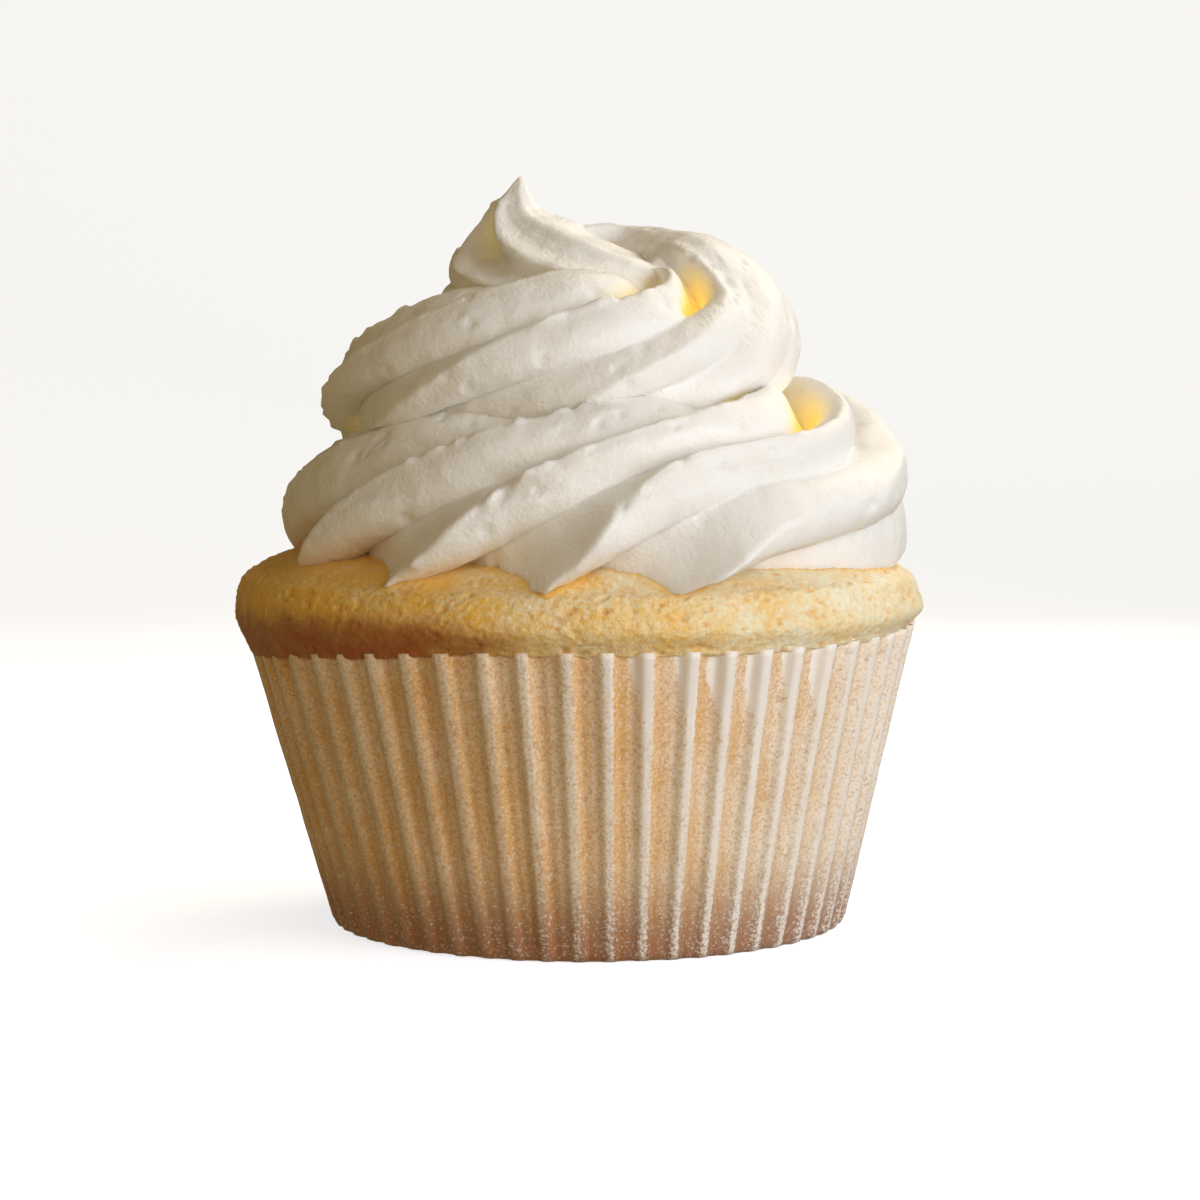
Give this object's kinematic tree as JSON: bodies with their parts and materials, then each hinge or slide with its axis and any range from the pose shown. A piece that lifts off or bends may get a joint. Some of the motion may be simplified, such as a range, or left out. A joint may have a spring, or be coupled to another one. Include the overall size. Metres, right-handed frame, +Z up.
{
  "type": "frosted cupcake in a pleated paper case",
  "caption": "Domed sponge cupcake in a pleated paper case, with a tall star-piped frosting swirl ending in a pulled peak.",
  "frame": {"origin": "centre of the paper case's flat base, on the surface it stands on", "axes": "+Z up; -Y is the side seen from the front; +X is to the right"},
  "size_m": [0.0682, 0.0681, 0.0739],
  "materials": {
    "greaseproof_paper": "thin greaseproof paper, soaked golden where it touches the cake, whiter on the pleats' folds",
    "sponge": "baked golden sponge with a fine open crumb and a browner edge",
    "buttercream": "ivory whipped buttercream, satin, with small air holes"
  },
  "bodies": {
    "root": {"paper_case": "greaseproof_paper", "cake": "sponge", "frosting": "buttercream"}
  },
  "joints": []
}
